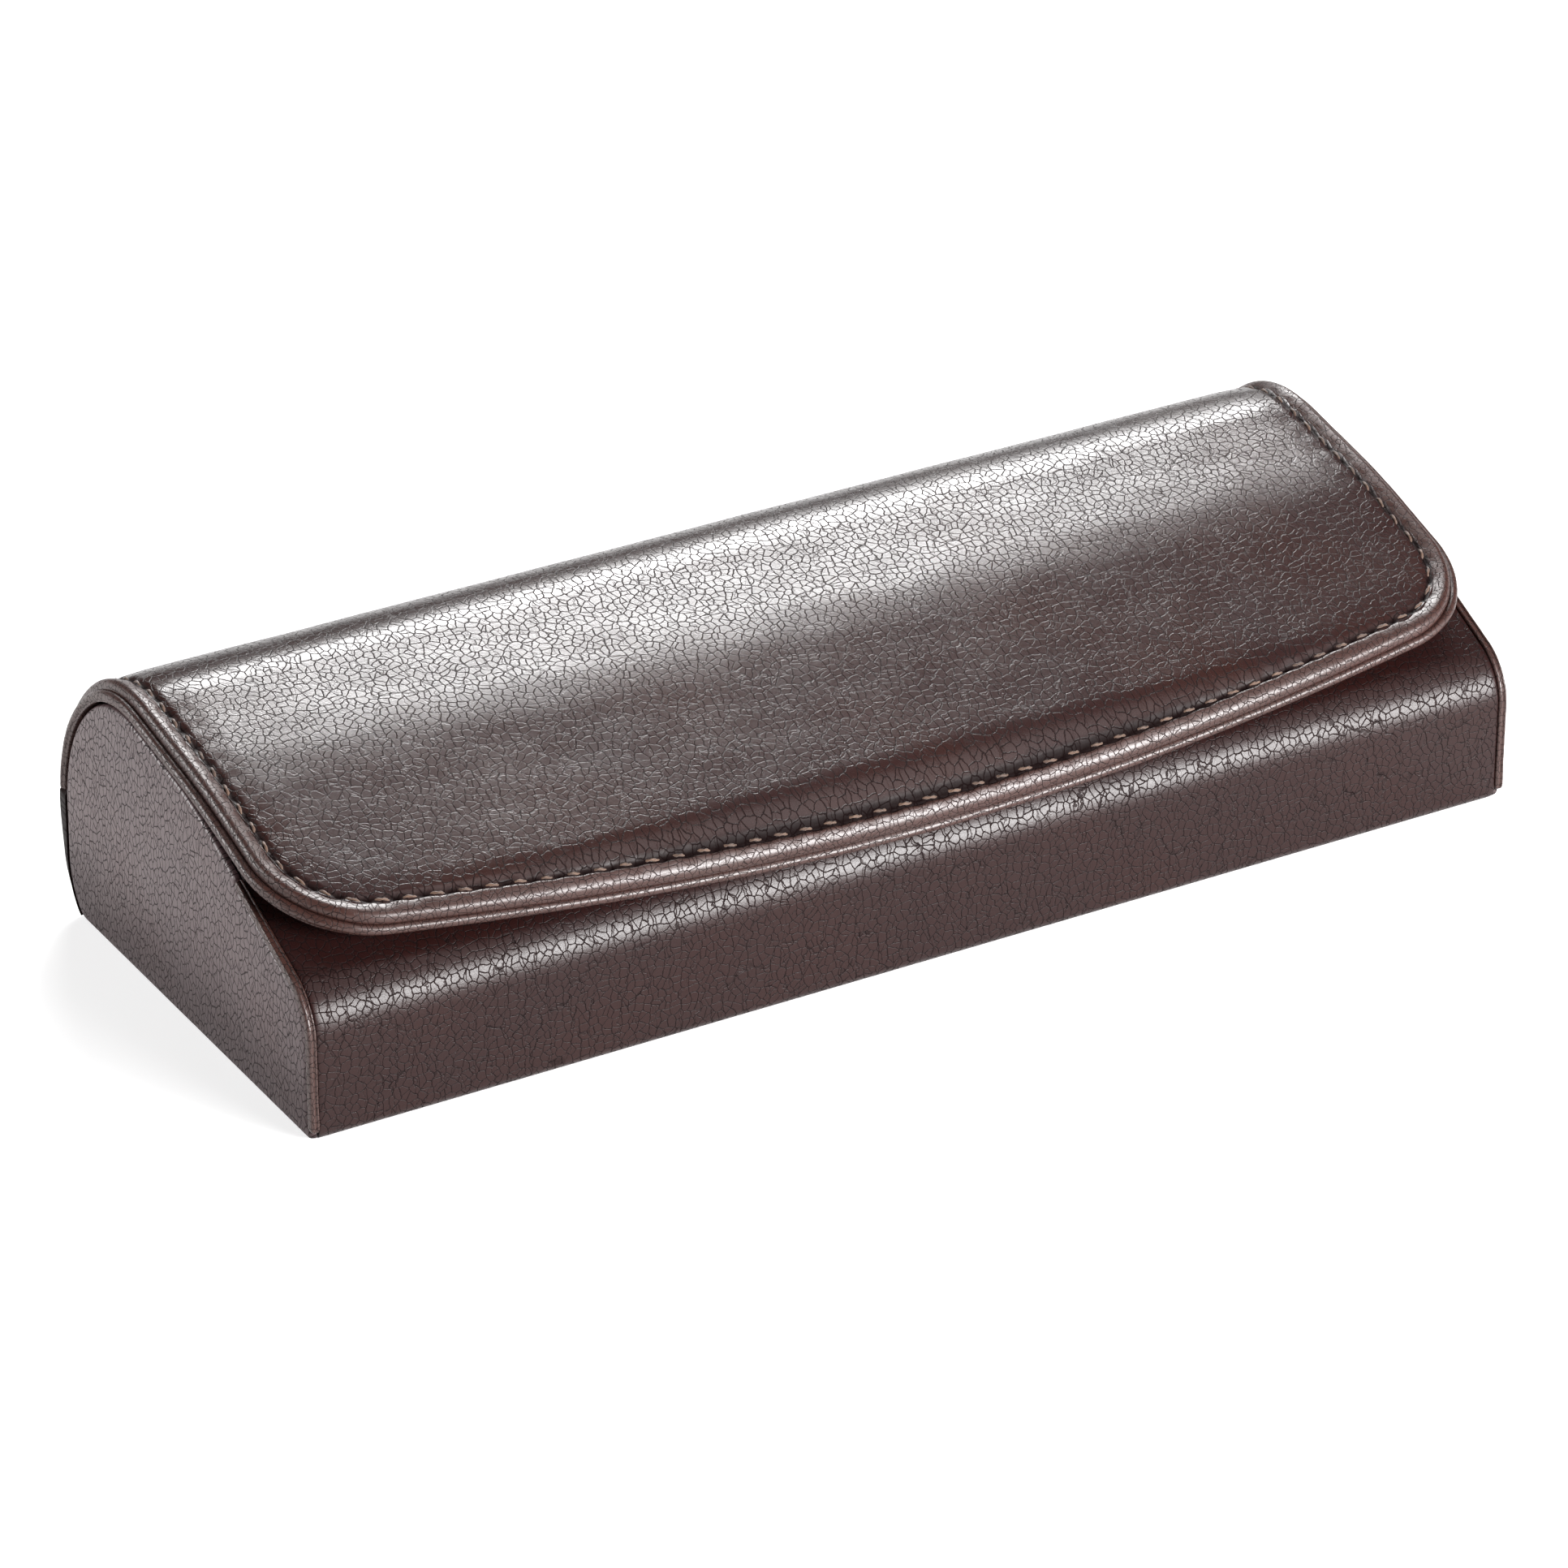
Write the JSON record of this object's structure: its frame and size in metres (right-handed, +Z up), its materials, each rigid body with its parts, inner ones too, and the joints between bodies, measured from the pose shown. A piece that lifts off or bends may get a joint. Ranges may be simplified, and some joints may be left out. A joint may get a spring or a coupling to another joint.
{
  "type": "eyeglasses case",
  "caption": "Hard eyeglasses case: rigid base with solid ends, and a curved flap lid that wraps over the top and is held to the sloping front by hidden magnets.",
  "frame": {"origin": "under the middle of the case, on the surface it rests on", "axes": "+X along the case, -Y towards the lid's free edge, +Z up"},
  "size_m": [0.16, 0.0661, 0.0358],
  "materials": {
    "grain_leather": "satin pebbled grain",
    "end_leather": "satin fine grain",
    "piping_leather": "glossy turned leather",
    "lining_cloth": "short velour",
    "shell_board": "moulded board",
    "foam": "thin foam",
    "filler_cord": "cotton cord",
    "thread": "twisted thread",
    "magnet_steel": "nickel plated"
  },
  "bodies": {
    "base": {"base_shell": "shell_board", "base_cover": "grain_leather", "base_lining": "lining_cloth", "end_plate_left": "shell_board", "end_plate_right": "shell_board", "end_lining_left": "lining_cloth", "end_lining_right": "lining_cloth", "end_welt_left": "piping_leather", "end_welt_right": "piping_leather", "end_cover_left": "end_leather", "end_cover_right": "end_leather", "back_panel": "grain_leather", "hinge_strip": "grain_leather", "hinge_lining": "lining_cloth", "lip_strike_plates": "magnet_steel"},
    "lid": {"lid_shell": "shell_board", "lid_foam": "foam", "lid_cover": "grain_leather", "lid_lining": "lining_cloth", "lid_binding": "piping_leather", "lid_piping": "piping_leather", "piping_cord": "filler_cord", "lid_stitches": "thread", "lid_magnets": "magnet_steel"}
  },
  "joints": [
    {"name": "lid_hinge", "type": "hinge", "parent": "base", "child": "lid", "pos_m": [0, 0.03248, 0.015], "axis": [-1, 0, 0], "range_deg": [0, 120], "deforming": ["hinge_strip", "hinge_lining"]}
  ]
}
